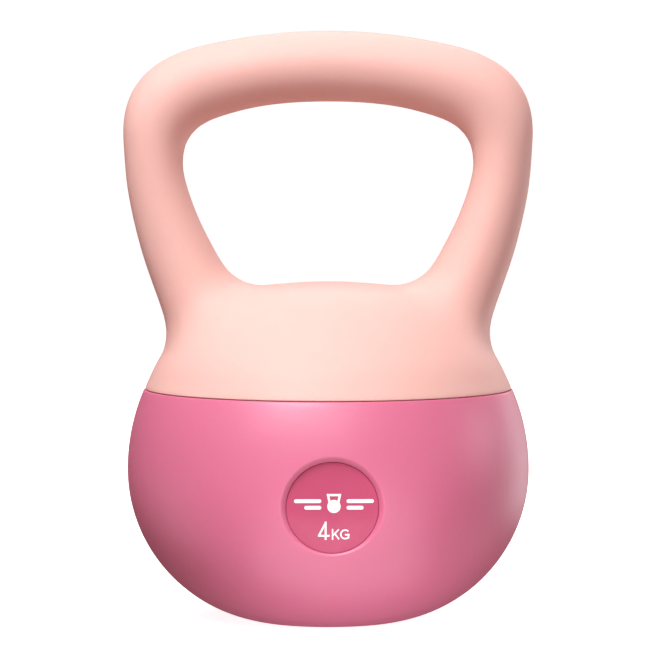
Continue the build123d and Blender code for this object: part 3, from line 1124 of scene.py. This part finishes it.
def studio_paper(colours):
    """Pale paper of the studio floor and sweep."""
    finish = Finish("studio paper", Specular_IOR_Level=0.1)
    fibre = finish.noise(600, 2)
    return finish.dress(
        Base_Color=colours.floor,
        Roughness=finish.ramp(fibre, 0.3, 0.7, 0.8, 0.9),
        Emission_Strength=0.95,
        Emission_Color=colours.floor,
    )


# ---- stage --------------------------------------------------------------------------------------


def aim(thing, target):
    """Turns a light or camera towards a point."""
    thing.rotation_euler = (Vector(target) - thing.location).to_track_quat("-Z", "Y").to_euler()


# Height of the point that the soft boxes are aimed at, in metres.
LIT_HEIGHT = 0.12

# Soft boxes round the kettlebell: azimuth and elevation in degrees, share of the key light's
# power, distance from that point and width in metres.
LIGHTS = {
    "key_high_left": (-26, 52, 0.86, 1.7, 0.6),
    "top": (0, 88, 0.13, 1.7, 0.6),
    "front_left": (-35, 35, 0.16, 1.7, 0.6),
    "front": (0, 34, 0.17, 1.7, 0.6),
    "side_right": (95, 8, 0.045, 1.0, 0.35),
    "rim_right": (128, -7, 0.014, 0.45, 0.25),
    "rim_high": (150, 20, 0.09, 1.7, 0.7),
    "bounce_front": (6, -46, 0.0030, 0.165, 0.16),
    "back_high": (175, 48, 0.16, 1.7, 0.8),
    "bounce_left": (-100, -22, 0.06, 1.7, 1.0),
    "bounce_right": (110, -24, 0.06, 1.7, 1.0),
}


def soft_box(name, azimuth, elevation, power, reach, size):
    """A square area light on a dome round the kettlebell, aimed at its middle."""
    turn, rise = math.radians(azimuth), math.radians(elevation)
    middle = Vector((0, 0, LIT_HEIGHT))
    level = math.cos(rise)
    away = Vector((level * math.sin(turn), -level * math.cos(turn), math.sin(rise)))
    deselect_all()
    bpy.ops.object.light_add(type="AREA", location=middle + away * reach)
    light = bpy.context.object
    light.name = name
    light.data.shape = "SQUARE"
    light.data.size = size
    light.data.energy = power
    light.visible_camera = False
    aim(light, middle)


class KETTLEBELL_OT_stage(bpy.types.Operator):
    """Set up the pale floor, the soft lights and the camera"""

    bl_idname = "kettlebell.stage"
    bl_label = "Studio"

    def execute(self, context):
        studio = context.scene.kettlebell_studio
        ground, radius, wall, bend, bend_steps = -0.1 * MM, 4.0, 4.0, 1.2, 12
        flat = radius - bend
        outline = [(0, ground), (0.5, ground), (flat, ground)]
        for step in range(1, bend_steps + 1):
            turn = math.pi / 2 * step / bend_steps
            outline.append((flat + bend * math.sin(turn), ground + bend * (1 - math.cos(turn))))
        outline.append((radius, wall))
        floor = lathe("studio_floor", outline, 96)
        bpy.ops.mesh.select_all(action="SELECT")
        bpy.ops.mesh.normals_make_consistent(inside=True)
        bpy.ops.object.mode_set(mode="OBJECT")
        bpy.ops.object.shade_smooth()
        floor.data.materials.append(studio_paper(context.scene.kettlebell_colours))
        floor.visible_diffuse = False
        floor.visible_glossy = False
        floor.visible_shadow = False

        for name, (azimuth, elevation, share, reach, size) in LIGHTS.items():
            soft_box(name, azimuth, elevation, share * studio.light_power, reach, size)

        world = bpy.data.worlds.new("studio")
        context.scene.world = world
        world.use_nodes = True
        surround = world.node_tree.nodes["Background"]
        surround.inputs["Color"].default_value = (*studio.surround, 1)
        surround.inputs["Strength"].default_value = studio.world_light

        place = (
            studio.aim_side + studio.distance * math.sin(studio.azimuth),
            -studio.distance * math.cos(studio.azimuth),
            studio.eye_height,
        )
        bpy.ops.object.camera_add(location=place)
        camera = context.object
        camera.data.lens = studio.lens
        camera.data.sensor_width = 36
        camera.data.clip_end = 20
        aim(camera, (studio.aim_side, 0, studio.aim_height))
        context.scene.camera = camera
        context.scene.view_settings.view_transform = "Standard"
        return {"FINISHED"}


# ---- panel and registration ---------------------------------------------------------------------


class KETTLEBELL_PT_panel(bpy.types.Panel):
    """Lists the kettlebell's pieces and settings"""

    bl_label = "Kettlebell"
    bl_idname = "KETTLEBELL_PT_panel"
    bl_space_type = "VIEW_3D"
    bl_region_type = "UI"
    bl_category = "Kettlebell"

    def draw(self, context):
        for operator in OPERATORS:
            self.layout.operator(operator.bl_idname)
        for group in (
            context.scene.kettlebell_sizes,
            context.scene.kettlebell_colours,
            context.scene.kettlebell_studio,
        ):
            box = self.layout.box()
            for setting in group.__annotations__:
                box.prop(group, setting)


GROUPS = (KettlebellSizes, KettlebellColours, StudioSettings)
OPERATORS = (
    KETTLEBELL_OT_bowl,
    KETTLEBELL_OT_handle,
    KETTLEBELL_OT_badge,
    KETTLEBELL_OT_inside,
    KETTLEBELL_OT_stage,
)


def register():
    """Registers the settings, operators and panel."""
    for item in (*GROUPS, *OPERATORS, KETTLEBELL_PT_panel):
        bpy.utils.register_class(item)
    bpy.types.Scene.kettlebell_sizes = PointerProperty(type=KettlebellSizes)
    bpy.types.Scene.kettlebell_colours = PointerProperty(type=KettlebellColours)
    bpy.types.Scene.kettlebell_studio = PointerProperty(type=StudioSettings)


def unregister():
    """Removes what register added."""
    del bpy.types.Scene.kettlebell_studio
    del bpy.types.Scene.kettlebell_colours
    del bpy.types.Scene.kettlebell_sizes
    for item in reversed((*GROUPS, *OPERATORS, KETTLEBELL_PT_panel)):
        bpy.utils.unregister_class(item)


def main():
    """Builds the kettlebell."""
    register()
    bpy.ops.kettlebell.bowl()
    bpy.ops.kettlebell.handle()
    bpy.ops.kettlebell.badge()
    bpy.ops.kettlebell.inside()
    bpy.ops.kettlebell.stage()


if __name__ == "__main__":
    main()
